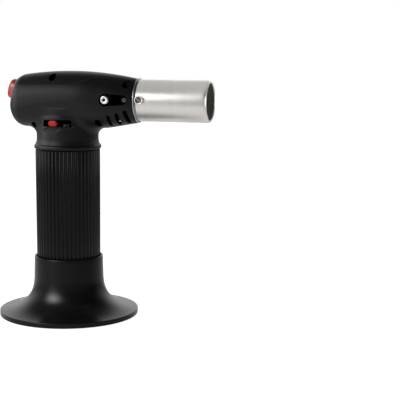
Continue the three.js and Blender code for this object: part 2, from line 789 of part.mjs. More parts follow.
function triggerButtonGeometry() {
  const domeSections = [
    buttonSection(-6, 0, 0.55),
    buttonSection(-5.7, 0, 0.8),
    buttonSection(-4.9, 0, 0.94),
    buttonSection(-3.6, 0, 1),
    buttonSection(4, 0, 1),
  ];
  const cap = new LoftGeometry(domeSections, { closed: true, capStart: true, capEnd: true });
  return toGeometry(join(cap, buttonPrism(3.2, 4.8, 1.7)));
}

function piezoBodyGeometry() {
  return latheX([
    [4.1, 10.3],
    [5.4, 10.3],
    [5.4, 35],
    [1.5, 35],
    [1.5, 36.8],
    [0, 36.8],
    [0, 24],
    [4.1, 24],
  ], 24, 0);
}

const LINK = { nearY: -8.4, farY: -7.2, bottom: 2.4, top: 5.6, back: 5.1, front: 48.6 };

function triggerLinkGeometry() {
  return box(LINK.back, LINK.front, LINK.nearY, LINK.farY, LINK.bottom, LINK.top);
}

// ---- Lock and screws ----------------------------------------------------------------------

function lockSliderGeometry() {
  const { nearY, farY, bottom, top, back, front } = LOCK_PLATE;
  const plate = box(back, front, nearY, farY, bottom, top);
  return toGeometry(join(plate, rodY(1.1, LOCK_KNOB_X, LOCK_SLOT.z, -19.6, -14.5, 12)));
}

function lockKnobGeometry() {
  const ring = toSolid(rodY(3.35, LOCK_KNOB_X, LOCK_SLOT.z, -21.3, -15.5, 24));
  return toGeometry(cut(ring, rodY(1.4, LOCK_KNOB_X, LOCK_SLOT.z, -22, -15, 12)));
}

function shellScrewGeometry() {
  const head = rodY(2.1, 0, 0, SCREW_SEAT_Y - 2.2, SCREW_SEAT_Y - GAP, 14);
  const driverSlot = box(-1.6, 1.6, SCREW_SEAT_Y - 3, SCREW_SEAT_Y - 1.5, -0.3, 0.3);
  return toGeometry(cut(join(head, rodY(1.1, 0, 0, SCREW_SEAT_Y - 1, 8.8, 8)), driverSlot));
}

// A screw along +Y, with its head outside the nozzle: a rim round a recess with a bar across it.
function nozzleScrewGeometry() {
  const head = rodY(NOZZLE_SCREW.headR, 0, 0, NOZZLE_SCREW.faceY, NOZZLE_SCREW.seatY, 20);
  const recess = toSolid(rodY(NOZZLE_SCREW.recessR, 0, 0, -19, NOZZLE_SCREW.faceY + 1, 16));
  const bar = box(-4, 4, -20, -16, -0.5, 0.5).rotateY(NOZZLE_SCREW.barTurn);
  const shank = rodY(1.4, 0, 0, NOZZLE_SCREW.seatY - 0.4, -9.2, 12);
  return toGeometry(toSolid(head).subtract(cut(recess, bar)).add(toSolid(shank)));
}

// ---- Assembly -----------------------------------------------------------------------------

const group = new THREE.Group();
const torch = new THREE.Group();
torch.position.x = -CENTRE_SHIFT_X;
group.add(torch);

const triggerLine = new THREE.Group();
triggerLine.position.set(TRIGGER_X, 0, TRIGGER_Z);
triggerLine.rotation.y = TRIGGER_TILT;
torch.add(triggerLine);

function place(name, geometry, material, parent = torch) {
  const mesh = new THREE.Mesh(geometry, material);
  mesh.name = name;
  parent.add(mesh);
  return mesh;
}

place('base_stand', standGeometry(), glossBlack);
place('foot_ring', latheZ(tubeOutline(51, 46.8, 0, 1.9), 40), rubberBlack);
place('grip_sleeve', gripGeometry(), ribBlack);
place('tank_body', tankGeometry(), tankGrey);
place('tank_cap', tankCapGeometry(), tankGrey);
place('tank_seal', ringZ(19.6, 0.85, 125.75), rubberBlack);
place('refill_valve_body', refillBodyGeometry(), brass);
place('refill_stem', refillStemGeometry(), brass);
place('refill_spring', coilSpring(2.1, 0.35, 5, 29.1, 36.7), steel);

place('valve_body', valveBodyGeometry(), brass);
place('valve_seal', ringZ(8.45, 0.85, 136.9), rubberBlack);
place('wick_tube', latheZ(tubeOutline(1.5, 0.8, 40, 118.7), 12), whitePlastic);
place('valve_stem', valveStemGeometry(), brass);
place('valve_spring', coilSpring(2.4, 0.35, 3, 150.3, 154.7), steel);
place('valve_bracket', bracketGeometry(), steel);
place('lever_pin', rodY(1, LEVER_PIVOT.x, LEVER_PIVOT.z, -11.6, 7.6, 12), steel);
place('valve_lever', valveLeverGeometry(), steel);
place('flame_lever', flameLeverGeometry(), redPlastic);

place('fuel_hose', fuelHoseGeometry(), whitePlastic);
place('jet_holder', jetHolderGeometry(), brass);
place('gas_jet', gasJetGeometry(), brass);
place('mixing_tube', mixingTubeGeometry(), brass);
place('nozzle_hub', hubGeometry(), aluminium);
place('burner_tube', burnerTubeGeometry(), steel);
place('flame_holder', flameHolderGeometry(), steel);
place('electrode', electrodeGeometry(), steel);
place('electrode_insulator', insulatorGeometry(), ceramicWhite);
place('ignition_lead', ignitionLeadGeometry(), whitePlastic);
place('nozzle_tube', nozzleTubeGeometry(), steel);
place('nozzle_ring', latheX(tubeOutline(17, 14.7, 57.8, 59.5), 40), nickel);
place('nozzle_screw_near', nozzleScrewGeometry(), nickel).position.set(NOZZLE_SCREW_X, 0, NOZZLE_SCREW_Z);
const farScrew = place('nozzle_screw_far', nozzleScrewGeometry(), nickel);
farScrew.position.set(NOZZLE_SCREW_X, 0, NOZZLE_SCREW_Z);
farScrew.rotation.z = Math.PI;

place('trigger_button', triggerButtonGeometry(), redPlastic, triggerLine);
place('trigger_link', triggerLinkGeometry(), steel, triggerLine);
place('piezo_plunger', latheX(rodOutline(3.8, 5.1, 16), 20, 0), whitePlastic, triggerLine);
place('piezo_body', piezoBodyGeometry(), whitePlastic, triggerLine);

place('lock_slider', lockSliderGeometry(), softBlack);
place('lock_knob', lockKnobGeometry(), nickel);

const shells = headShells();
place('head_shell_near', shells.near, softBlack);
place('head_shell_far', shells.far, softBlack);
SCREW_PLACES.forEach((screw, i) => {
  place(`shell_screw_${i + 1}`, shellScrewGeometry(), blackenedSteel).position.set(screw.x, 0, screw.z);
});

export default group;
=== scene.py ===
"""A table-top butane torch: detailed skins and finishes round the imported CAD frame."""
import json
import math

import bmesh
import bpy
import numpy as np
from mathutils import Matrix, Vector


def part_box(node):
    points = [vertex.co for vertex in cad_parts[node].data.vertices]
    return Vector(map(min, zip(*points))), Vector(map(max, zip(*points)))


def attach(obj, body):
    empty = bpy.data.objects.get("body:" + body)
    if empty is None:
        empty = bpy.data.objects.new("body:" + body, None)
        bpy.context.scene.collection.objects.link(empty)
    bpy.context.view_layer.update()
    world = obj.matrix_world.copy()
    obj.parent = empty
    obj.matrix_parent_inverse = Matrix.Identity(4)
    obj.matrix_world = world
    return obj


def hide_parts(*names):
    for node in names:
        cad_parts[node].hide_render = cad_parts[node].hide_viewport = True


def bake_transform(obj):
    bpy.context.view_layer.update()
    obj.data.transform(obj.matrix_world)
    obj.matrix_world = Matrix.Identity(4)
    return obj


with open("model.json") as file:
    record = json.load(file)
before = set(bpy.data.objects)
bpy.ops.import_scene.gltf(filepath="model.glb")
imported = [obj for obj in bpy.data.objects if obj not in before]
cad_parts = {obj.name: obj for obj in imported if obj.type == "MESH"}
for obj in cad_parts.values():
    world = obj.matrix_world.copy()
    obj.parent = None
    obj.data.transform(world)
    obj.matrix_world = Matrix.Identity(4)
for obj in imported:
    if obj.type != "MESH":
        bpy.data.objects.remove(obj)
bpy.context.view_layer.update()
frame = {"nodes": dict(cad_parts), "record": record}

# All sizes below are millimetres in the torch's own frame: +X along the nozzle, +Z up, origin on
# the handle's axis at floor level. The stand is round, so its box gives that axis in the CAD frame.
MM = 0.001
stand_low, stand_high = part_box("base_stand")
AXIS_X = (stand_low[0] + stand_high[0]) / 2
RIM_R = (stand_high[0] - stand_low[0]) / 2 / MM
grip_low, grip_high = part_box("grip_sleeve")
GRIP_BOTTOM_Z = grip_low[2] / MM
GRIP_TOP_Z = grip_high[2] / MM
GRIP_R = (grip_high[1] - grip_low[1]) / 2 / MM
nozzle_low, nozzle_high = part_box("nozzle_tube")
NOZZLE_R = (nozzle_high[2] - nozzle_low[2]) / 2 / MM
NOZZLE_Z = (nozzle_high[2] + nozzle_low[2]) / 2 / MM
NOZZLE_START_X = (nozzle_low[0] - AXIS_X) / MM
NOZZLE_TIP_X = (nozzle_high[0] - AXIS_X) / MM
HEAD_FRONT_X = NOZZLE_START_X - 2.4
TANK_R = 22.3
TANK_BOTTOM_Z = 24.0
COLLAR_TOP_Z = 46.8
COLLAR_BORE_R = 25.35
SEAT_Z = 23.7
WALL = 2.4
TRIGGER_START = (-41.5, 177.2)
TRIGGER_TILT = math.radians(16)
SCREW_SEAT_Y = -8.0
NOZZLE_SCREW_X = NOZZLE_START_X + 3.0
NOZZLE_SCREW_Z = NOZZLE_Z + 1.1
ELECTRODE_R = 12.9
ELECTRODE_ANGLE = math.radians(-46)
FLAME_LEVER_TURN = math.radians(-6.6)
# Each well: x, z, radius. Each vent: x, z, width, length, lean in degrees.
SCREW_WELLS = ((-5.6, 186.2, 2.8), (52.2, 181.6, 2.8), (-21.8, 149.6, 2.4), (30.8, 152.2, 2.8))
VENTS = ((39.3, 154.0, 2.5, 8.6, 0), (45.8, 155.4, 2.8, 9.4, 3), (52.6, 157.0, 3.2, 10.6, 8))
# The lock's slot: left, right, z, radius of its left end, radius of its right end.
LOCK_SLOT = (33.3, 54.1, 170.0, 4.7, 3.6)
LOCK_PEG_X, LOCK_PEG_Y, LOCK_PEG_R = 51.9, -18.0, 1.7
LOCK_KNOB_X = 37.1
# The flame lever's slot: left, right, bottom, top.
FLAME_SLOT = (-11.2, 11.5, 149.1, 154.3)
FLAME_LEVER_Z = (FLAME_SLOT[2] + FLAME_SLOT[3]) / 2
FLAME_TIP_LENGTH, FLAME_TIP_HEIGHT = 7.6, 4.4
SHADE_DEPTH = 0.7  # faces of the head deeper than this below its surface get the painted inner shade
PARTING = 0.07  # half the gap between the two head shells
HUB_BORE_R, BULKHEAD_BACK, BULKHEAD_FRONT = 8.1, 50.5, 53.0
NET_STEP = 0.42


# ---- Camera, light and floor ---------------------------------------------------------------

def world_point(x, y, z):
    return Vector((AXIS_X + x * MM, y * MM, z * MM))


def add_camera():
    pitch, yaw, roll = math.radians(8.07), math.radians(-14.27), math.radians(0.4)
    forward = Vector((
        math.sin(yaw) * math.cos(pitch), math.cos(yaw) * math.cos(pitch), -math.sin(pitch)))
    right = Vector((math.cos(yaw), -math.sin(yaw), 0))
    up = right.cross(forward)
    level_right, level_up = right, up
    right = level_right * math.cos(roll) + level_up * math.sin(roll)
    up = level_up * math.cos(roll) - level_right * math.sin(roll)
    data = bpy.data.cameras.new("camera")
    data.sensor_width = 36
    data.lens = 99
    camera = bpy.data.objects.new("camera", data)
    turn = Matrix((right, up, -forward)).transposed().to_4x4()
    camera.matrix_world = Matrix.Translation(world_point(310.66, -802.58, 211.98)) @ turn
    bpy.context.scene.collection.objects.link(camera)
    bpy.context.scene.camera = camera


def add_area_light(name, place, target, size, power):
    data = bpy.data.lights.new(name, "AREA")
    data.shape = "RECTANGLE"
    data.size, data.size_y = size
    data.energy = power
    light = bpy.data.objects.new(name, data)
    light.location = world_point(*place)
    aim = world_point(*target) - light.location
    light.rotation_euler = aim.to_track_quat("-Z", "Y").to_euler()
    bpy.context.scene.collection.objects.link(light)
    return light


def aim_only_at(light, names):
    """Keep a small light, like a snooted lamp, to the named pieces."""
    lit = bpy.data.collections.new(f"{light.name}_pieces")
    for name in names:
        lit.objects.link(bpy.data.objects[name])
    light.light_linking.receiver_collection = lit


def ramp_node(tree, source, low, high, start, end):
    """A smooth change of value from start to end as the source goes from low to high."""
    ramp = tree.nodes.new("ShaderNodeMapRange")
    ramp.interpolation_type = "SMOOTHSTEP"
    ends = {"From Min": low, "From Max": high, "To Min": start, "To Max": end}
    for socket, value in ends.items():
        ramp.inputs[socket].default_value = value
    tree.links.new(source, ramp.inputs["Value"])
    return ramp.outputs["Result"]


def mix_node(tree, share, first, second):
    """A plain blend of two values, each a socket or a number."""
    mix = tree.nodes.new("ShaderNodeMix")
    for index, source in ((0, share), (2, first), (3, second)):
        if isinstance(source, (int, float)):
            mix.inputs[index].default_value = source
        else:
            tree.links.new(source, mix.inputs[index])
    return mix.outputs[0]


def add_world():
    """A white backdrop, with bright walls behind and at the left, a dim right corner and front."""
    world = bpy.data.worlds.new("studio")
    bpy.context.scene.world = world
    world.use_nodes = True
    tree = world.node_tree
    tree.nodes.clear()
    coordinate = tree.nodes.new("ShaderNodeTexCoord")
    split = tree.nodes.new("ShaderNodeSeparateXYZ")
    tree.links.new(coordinate.outputs["Generated"], split.inputs[0])
    behind = ramp_node(tree, split.outputs["Y"], -0.65, 0.25, 0, 1)
    low_wall = ramp_node(tree, split.outputs["Z"], 0.0, 0.2, 0.8, 1.6)
    ceiling = ramp_node(tree, split.outputs["Z"], 0.35, 0.7, 0.0, 1.0)
    bright_walls = mix_node(tree, ceiling, low_wall, 0.15)
    right = ramp_node(tree, split.outputs["X"], 0.15, 0.5, 0.0, 1.0)
    right_wall = ramp_node(tree, split.outputs["Y"], 0.2, 0.95, 0.12, 0.9)
    dark_corner = mix_node(tree, right, 1.0, right_wall)
    shaded = tree.nodes.new("ShaderNodeMath")
    shaded.operation = "MULTIPLY"
    tree.links.new(bright_walls, shaded.inputs[0])
    tree.links.new(dark_corner, shaded.inputs[1])
    walls = shaded.outputs[0]
    front = ramp_node(tree, split.outputs["Z"], 0.05, 0.45, 0.42, 0.05)
    light = mix_node(tree, behind, front, walls)
    path = tree.nodes.new("ShaderNodeLightPath")
    background = tree.nodes.new("ShaderNodeBackground")
    background.inputs["Color"].default_value = (1, 1, 1, 1)
    strength = mix_node(tree, path.outputs["Is Camera Ray"], light, 1.0)
    tree.links.new(strength, background.inputs["Strength"])
    output = tree.nodes.new("ShaderNodeOutputWorld")
    tree.links.new(background.outputs[0], output.inputs["Surface"])


def add_stage():
    """A white floor that glows: evenly to the camera, and, as a painted glow that lights the torch,
    most strongly round it.
    """
    bpy.ops.mesh.primitive_plane_add(size=8, location=(AXIS_X, 0, -0.0002))
    floor = bpy.context.object
    floor.name = "studio_floor"
    paint = bpy.data.materials.new("studio_floor")
    paint.use_nodes = True
    tree = paint.node_tree
    shader = tree.nodes["Principled BSDF"]
    shader.inputs["Base Color"].default_value = (0.8, 0.8, 0.8, 1)
    shader.inputs["Roughness"].default_value = 0.9
    shader.inputs["Specular IOR Level"].default_value = 0.0
    shader.inputs["Emission Color"].default_value = (1, 1, 1, 1)
    coordinate = tree.nodes.new("ShaderNodeTexCoord")
    length = tree.nodes.new("ShaderNodeVectorMath")
    length.operation = "LENGTH"
    tree.links.new(coordinate.outputs["Object"], length.inputs[0])
    # Painted glow: what the torch sees of the floor glows most near it and fades out by 0.6 m.
    painted_glow = ramp_node(tree, length.outputs["Value"], 0.2, 0.6, 0.55, 0.0)
    path = tree.nodes.new("ShaderNodeLightPath")
    strength = mix_node(tree, path.outputs["Is Camera Ray"], painted_glow, 0.9)
    tree.links.new(strength, shader.inputs["Emission Strength"])
    floor.data.materials.append(paint)


# ---- Materials -----------------------------------------------------------------------------

def finish_material(name, color, roughness, metallic=0.0, grain=None, mottle=0.12, mottle_scale=60,
                    rough_spread=0.06, stretch=(1, 1, 1), edge=0.0, coat=0.0, anisotropic=0.0,
                    specular=0.5):
    """A surface with fine grain in its relief, drifting colour and gloss, and a painted highlight
    on its sharp edges.
    """
    paint = bpy.data.materials.new(name)
    paint.use_nodes = True
    nodes, links = paint.node_tree.nodes, paint.node_tree.links
    shader = nodes["Principled BSDF"]
    shader.inputs["Metallic"].default_value = metallic
    shader.inputs["Specular IOR Level"].default_value = specular
    shader.inputs["Coat Weight"].default_value = coat
    shader.inputs["Coat Roughness"].default_value = 0.12
    shader.inputs["Anisotropic"].default_value = anisotropic
    coordinate = nodes.new("ShaderNodeTexCoord")
    mapping = nodes.new("ShaderNodeMapping")
    mapping.inputs["Scale"].default_value = stretch
    links.new(coordinate.outputs["Object"], mapping.inputs["Vector"])

    drift = nodes.new("ShaderNodeTexNoise")
    drift.inputs["Scale"].default_value = mottle_scale
    drift.inputs["Detail"].default_value = 4
    links.new(mapping.outputs["Vector"], drift.inputs["Vector"])
    tint = nodes.new("ShaderNodeMix")
    tint.data_type = "RGBA"
    tint.inputs[6].default_value = (*[c * (1 - mottle) for c in color], 1)
    tint.inputs[7].default_value = (*[min(1, c * (1 + mottle)) for c in color], 1)
    links.new(drift.outputs["Fac"], tint.inputs[0])
    color_socket = tint.outputs[2]
    # Painted highlight: sharp convex edges, found by pointiness, are lightened in the base colour.
    if edge > 0:
        geometry = nodes.new("ShaderNodeNewGeometry")
        edge_highlight = nodes.new("ShaderNodeMapRange")
        edge_highlight.inputs["From Min"].default_value = 0.53
        edge_highlight.inputs["From Max"].default_value = 0.62
        edge_highlight.inputs["To Max"].default_value = edge
        links.new(geometry.outputs["Pointiness"], edge_highlight.inputs["Value"])
        highlit_edges = nodes.new("ShaderNodeMix")
        highlit_edges.data_type = "RGBA"
        highlit_edges.inputs[7].default_value = (*[min(1, c * 2.2 + 0.03) for c in color], 1)
        links.new(edge_highlight.outputs["Result"], highlit_edges.inputs[0])
        links.new(color_socket, highlit_edges.inputs[6])
        color_socket = highlit_edges.outputs[2]
    links.new(color_socket, shader.inputs["Base Color"])

    gloss = nodes.new("ShaderNodeMapRange")
    gloss.inputs["To Min"].default_value = roughness - rough_spread
    gloss.inputs["To Max"].default_value = roughness + rough_spread
    links.new(drift.outputs["Fac"], gloss.inputs["Value"])
    links.new(gloss.outputs["Result"], shader.inputs["Roughness"])

    if grain:
        scale, depth = grain
        relief = nodes.new("ShaderNodeTexNoise")
        relief.inputs["Scale"].default_value = scale
        relief.inputs["Detail"].default_value = 3
        links.new(mapping.outputs["Vector"], relief.inputs["Vector"])
        bump = nodes.new("ShaderNodeBump")
        bump.inputs["Strength"].default_value = 1.0
        bump.inputs["Distance"].default_value = depth * MM
        links.new(relief.outputs["Fac"], bump.inputs["Height"])
        links.new(bump.outputs["Normal"], shader.inputs["Normal"])
    return paint


def make_materials():
    fine = (1, 1, 1)
    around_x = (30, 1, 1)
    return {
        "stand_plastic": finish_material(
            "stand_plastic", (0.0012, 0.0012, 0.0013), 0.25, grain=(900, 0.012), mottle_scale=25,
            specular=0.12),
        "head_plastic": finish_material(
            "head_plastic", (0.0048, 0.0048, 0.0054), 0.45, grain=(2600, 0.03), mottle_scale=35,
            edge=0.25, specular=0.20),
        # Painted shade: a near-black, dull finish for the head's inner faces and the flame lever's
        # ring and arm, standing in for the shade inside the shells.
        "painted_inner_shade": finish_material(
            "painted_inner_shade", (0.0010, 0.0010, 0.0011), 0.7, grain=(1500, 0.02), mottle_scale=40,
            specular=0.03),
        "grip_plastic": finish_material(
            "grip_plastic", (0.0038, 0.0038, 0.004), 0.33, grain=(2200, 0.02), mottle_scale=40,
            edge=0.2, specular=0.12),
        "tank_plastic": finish_material(
            "tank_plastic", (0.035, 0.037, 0.040), 0.35, grain=(700, 0.02)),
        "rubber": finish_material(
            "rubber", (0.018, 0.018, 0.018), 0.75, grain=(1500, 0.06), mottle=0.2),
        # Painted shade: brass is painted darker than brass, so the inner parts seen through the
        # slots look shaded.
        "brass": finish_material(
            "brass", (0.36, 0.25, 0.11), 0.36, 1.0, grain=(500, 0.01), mottle=0.1, mottle_scale=90),
        "spring_steel": finish_material(
            "spring_steel", (0.52, 0.52, 0.50), 0.32, 1.0, grain=(700, 0.01), mottle=0.15),
        # Blackened steel is dark in its own right, and is painted darker still as shade on the
        # screws in their wells and other inner parts.
        "black_steel": finish_material(
            "black_steel", (0.010, 0.010, 0.009), 0.55, 1.0, grain=(900, 0.01), mottle=0.2),
        "burner_steel": finish_material(
            "burner_steel", (0.36, 0.32, 0.28), 0.38, 1.0, grain=(600, 0.012), mottle=0.3),
        "nozzle_steel": finish_material(
            "nozzle_steel", (0.66, 0.64, 0.61), 0.40, 1.0, grain=(160, 0.006), mottle=0.07,
            mottle_scale=14, stretch=around_x, rough_spread=0.07, anisotropic=0.4),
        "nickel": finish_material(
            "nickel", (0.78, 0.77, 0.75), 0.22, 1.0, grain=(500, 0.004), mottle=0.05),
        "satin_nickel": finish_material(
            "satin_nickel", (0.82, 0.81, 0.79), 0.36, 1.0, grain=(700, 0.006), mottle=0.05),
        "ring_steel": finish_material(
            "ring_steel", (0.40, 0.40, 0.40), 0.34, 1.0, grain=(700, 0.006), mottle=0.05),
        "bronze": finish_material(
            "bronze", (0.17, 0.115, 0.085), 0.45, 1.0, grain=(900, 0.01), mottle=0.2),
        "hub_alloy": finish_material(
            "hub_alloy", (0.50, 0.51, 0.52), 0.40, 1.0, grain=(900, 0.02)),
        "red_plastic": finish_material(
            "red_plastic", (0.47, 0.040, 0.032), 0.30, grain=(800, 0.01), mottle=0.12,
            mottle_scale=120, stretch=fine, coat=0.3),
        "deep_red": finish_material(
            "deep_red", (0.42, 0.016, 0.013), 0.42, grain=(800, 0.01), mottle=0.12,
            mottle_scale=120, stretch=fine, specular=0.2),
        "white_plastic": finish_material(
            "white_plastic", (0.66, 0.65, 0.61), 0.45, grain=(1200, 0.02)),
        "ceramic": finish_material(
            "ceramic", (0.76, 0.74, 0.69), 0.35, grain=(900, 0.02)),
    }


def paint_cad_nodes(materials):
    """Every CAD piece that stays takes its slot's finish; the skins made below replace the rest."""
    for part in frame["record"]["subparts"]:
        piece = frame["nodes"][part["node"]]
        piece = bpy.data.objects[piece] if isinstance(piece, str) else piece
        piece.data.materials.clear()
        piece.data.materials.append(materials[part["material_slot"]])
        piece.data.set_sharp_from_angle(angle=math.radians(28))


# ---- Mesh helpers --------------------------------------------------------------------------

NODE_BODY = {node: body for body, nodes in frame["record"]["behaviour"]["bodies"].items()
             for node in nodes}
NODE_SLOT = {part["node"]: part["material_slot"] for part in frame["record"]["subparts"]}


def new_object(name, vertices, faces):
    """A mesh from millimetre points in the torch frame."""
    mesh = bpy.data.meshes.new(name)
    placed = np.asarray(vertices, float) * MM + np.array([AXIS_X, 0, 0])
    mesh.from_pydata(placed.tolist(), [], faces)
    mesh.update()
    piece = bpy.data.objects.new(name, mesh)
    bpy.context.scene.collection.objects.link(piece)
    return piece


def stand_in_for(piece, node, materials, sharp=30.0):
    """Finish a piece that takes a CAD node's place: its body, the material of the node's slot, and
    its shading; the node is hidden.
    """
    mesh = piece.data
    mesh.materials.clear()
    mesh.materials.append(materials[NODE_SLOT[node]])
    mesh.polygons.foreach_set("use_smooth", [True] * len(mesh.polygons))
    mesh.set_sharp_from_angle(angle=math.radians(sharp))
    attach(piece, NODE_BODY[node])
    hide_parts(node)
    return piece


def second_finish(piece, material, chosen):
    """Give a further finish to the faces whose centres, in millimetres, the function chooses."""
    mesh = piece.data
    mesh.materials.append(material)
    centres = np.empty(3 * len(mesh.polygons))
    mesh.polygons.foreach_get("center", centres)
    centres = (centres.reshape(-1, 3) - np.array([AXIS_X, 0, 0])) / MM
    last = len(mesh.materials) - 1
    index = np.empty(len(mesh.polygons), np.int32)
    mesh.polygons.foreach_get("material_index", index)
    mesh.polygons.foreach_set("material_index", np.where(chosen(centres), last, index))


def rounded(outline, steps=4):
    """A closed [radius, height(, corner)] outline with its marked corners turned into arcs."""
    result = []
    count = len(outline)
    for i, (r, h, *corner) in enumerate(outline):
        here = np.array([r, h], float)
        if not corner:
            result.append(here)
            continue
        before = np.array(outline[i - 1][:2], float) - here
        after = np.array(outline[(i + 1) % count][:2], float) - here
        reach = min(corner[0], 0.45 * np.linalg.norm(before), 0.45 * np.linalg.norm(after))
        start = here + before / np.linalg.norm(before) * reach
        end = here + after / np.linalg.norm(after) * reach
        for k in range(steps + 1):
            t = k / steps
            result.append((1 - t) ** 2 * start + 2 * t * (1 - t) * here + t * t * end)
    return result


def lathe_mesh(outline, segments, along, height=0.0, offset_y=0.0):
    """Turn a closed outline about Z, or about the X line at the given height."""
    vertices, faces, rings = [], [], []
    for r, h in outline:
        ring = []
        sides = 1 if r < 1e-6 else segments
        for k in range(sides):
            angle = 2 * math.pi * k / segments
            across, up = r * math.cos(angle), r * math.sin(angle)
            ring.append(len(vertices))
            if along == "z":
                vertices.append((across, up, h))
            else:
                vertices.append((h, offset_y + across, height + up))
        rings.append(ring)
    closed = outline[0][0] > 1e-6
    pairs = list(zip(rings, rings[1:] + rings[:1])) if closed else list(zip(rings, rings[1:]))
    for lower, upper in pairs:
        for k in range(segments):
            a, b = lower[k % len(lower)], lower[(k + 1) % len(lower)]
            c, d = upper[(k + 1) % len(upper)], upper[k % len(upper)]
            face = list(dict.fromkeys((a, b, c, d)))
            if len(face) > 2:
                faces.append(face)
    return vertices, faces


def turned(name, outline, segments=96, along="z", height=None, offset_y=0.0, steps=4):
    height = NOZZLE_Z if height is None else height
    return new_object(name, *lathe_mesh(rounded(outline, steps), segments, along, height, offset_y))


def turned_on_y(name, outline, segments, x, z, side=-1, steps=4):
    """Turn a closed outline about the Y line through x and z, outwards on the given side."""
    points, faces = lathe_mesh(rounded(outline, steps), segments, "z")
    piece = new_object(name, [(x + u, side * h, z + v) for u, v, h in points], faces)
    fix_normals(piece)
    return piece


def loft(name, rings):
    """A closed solid through rings of as many points each, capped at both ends."""
    sides = len(rings[0])
    faces = []
    for i in range(len(rings) - 1):
        for k in range(sides):
            a, b = i * sides + k, i * sides + (k + 1) % sides
            faces.append([a, b, b + sides, a + sides])
    faces.append(list(range(sides))[::-1])
    faces.append([(len(rings) - 1) * sides + k for k in range(sides)])
    piece = new_object(name, [point for ring in rings for point in ring], faces)
    fix_normals(piece)
    return piece


def tube_outline(outer, inner, start, end, corner=0.15):
    corners = [(inner, start), (outer, start), (outer, end), (inner, end)]
    return [(r, h, corner) if corner else (r, h) for r, h in corners]


def smoothstep(low, high, value):
    t = np.clip((value - low) / (high - low), 0, 1)
    return t * t * (3 - 2 * t)


def bezier(p0, p1, p2, p3, count):
    t = np.linspace(0, 1, count)[:, None]
    p0, p1, p2, p3 = (np.array(p, float) for p in (p0, p1, p2, p3))
    return (1 - t) ** 3 * p0 + 3 * (1 - t) ** 2 * t * p1 + 3 * (1 - t) * t * t * p2 + t ** 3 * p3


def prism(name, outline, x, z, y0, y1, lean=0.0):
    """A flat outline in x and z, cut along Y, leaning about Y."""
    vertices = []
    for y in (y0, y1):
        for u, v in outline:
            vertices.append((x + u * math.cos(lean) + v * math.sin(lean), y,
                             z - u * math.sin(lean) + v * math.cos(lean)))
    n = len(outline)
    faces = [list(range(n)), list(range(2 * n - 1, n - 1, -1))]
    faces += [[(k + 1) % n, k, n + k, n + (k + 1) % n] for k in range(n)]
    piece = new_object(name, vertices, faces)
    fix_normals(piece)
    return piece


def fix_normals(piece):
    bm = bmesh.new()
    bm.from_mesh(piece.data)
    bmesh.ops.recalc_face_normals(bm, faces=bm.faces)
    bm.to_mesh(piece.data)
    bm.free()


def tapered_slot(length, left_r, right_r, steps=10):
    """A slot outline with round ends that may differ in radius."""
    quarter = math.pi / 2 - math.asin((left_r - right_r) / (length - left_r - right_r))
    right = [(length / 2 - right_r + right_r * math.cos(a), right_r * math.sin(a))
             for a in np.linspace(-quarter, quarter, steps)]
    left = [(left_r - length / 2 + left_r * math.cos(a), left_r * math.sin(a))
            for a in np.linspace(quarter, 2 * math.pi - quarter, steps)]
    return right + left


def stadium(length, height, steps=10):
    return tapered_slot(length, height / 2, height / 2, steps)


def circle(radius, sides=40):
    return [(radius * math.cos(a), radius * math.sin(a))
            for a in np.linspace(0, 2 * math.pi, sides, endpoint=False)]


def merged(name, pieces):
    """Join separate closed meshes into one object."""
    vertices, faces = [], []
    for piece in pieces:
        first = len(vertices)
        vertices += [tuple(v.co) for v in piece.data.vertices]
        faces += [[first + i for i in face.vertices] for face in piece.data.polygons]
        bpy.data.objects.remove(piece)
    mesh = bpy.data.meshes.new(name)
    mesh.from_pydata(vertices, [], faces)
    result = bpy.data.objects.new(name, mesh)
    bpy.context.scene.collection.objects.link(result)
    return result


def boolean(target, tool, operation, keep_tool=False):
    modifier = target.modifiers.new("cut", "BOOLEAN")
    modifier.object = tool
    modifier.operation = operation
    modifier.solver = "EXACT"
    graph = bpy.context.evaluated_depsgraph_get()
    mesh = bpy.data.meshes.new_from_object(target.evaluated_get(graph))
    target.modifiers.clear()
    target.data = mesh
    if not keep_tool:
        bpy.data.objects.remove(tool)


def box_object(name, x0, x1, y0, y1, z0, z1):
    outline = [(x0, z0), (x1, z0), (x1, z1), (x0, z1)]
    return prism(name, outline, 0, 0, y0, y1)


# ---- The head as a field: negative inside, about a distance in millimetres outside ----------

TOP_Z, TOP_CREST_X, TOP_ARC_R = 190.9, 5.0, 256.0
FLOOR_Z, NOSE_RISE_X = 147.6, 34.0
FRONT_R, HALF_WIDTH = 17.35, 24.2
REAR_X, REAR_ROUND, REAR_POWER = -44.2, 13.0, 2.2
TRIGGER_FACE_R = 40.0
NECK_R, NECK_BORE_R, HEAD_BOTTOM_Z = 23.9, 21.5, 131.0


